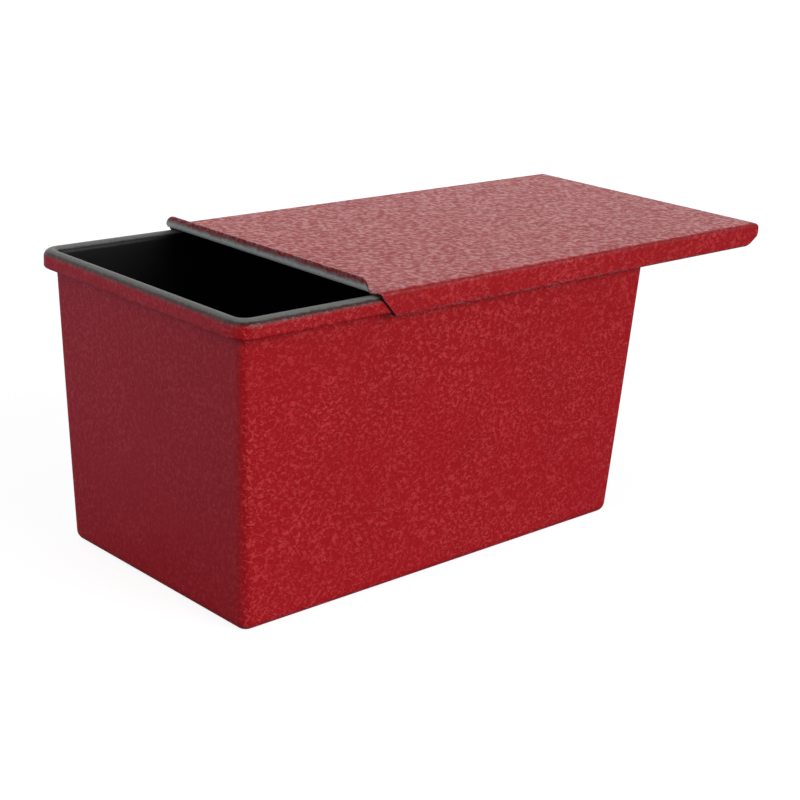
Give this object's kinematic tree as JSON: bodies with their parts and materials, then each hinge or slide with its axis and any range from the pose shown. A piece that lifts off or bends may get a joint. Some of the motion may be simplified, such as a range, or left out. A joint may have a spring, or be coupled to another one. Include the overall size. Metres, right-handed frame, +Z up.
{
  "type": "lidded loaf pan",
  "caption": "Tapered sheet-metal loaf pan with a wired rim and a flat lid whose side rails slide along the rim.",
  "frame": {"origin": "middle of the underside of the pan's base, where the pan stands", "axes": "+X along the pan, the way the lid slides open; +Y across it; +Z up; the lid is part open at rest"},
  "size_m": [0.2646, 0.1176, 0.1156],
  "materials": {
    "coated_sheet": "red metallic hammered baked coat outside, dark grey non-stick coat inside and on the rim",
    "wire_steel": "bright drawn wire"
  },
  "bodies": {
    "pan": {"pan_body": "coated_sheet", "rim_wire": "wire_steel"},
    "lid": {"sliding_lid": "coated_sheet"}
  },
  "joints": [
    {"name": "lid_slide", "type": "slide", "parent": "pan", "child": "lid", "axis": [1, 0, 0], "range_m": [-0.0591, 0.13]}
  ]
}
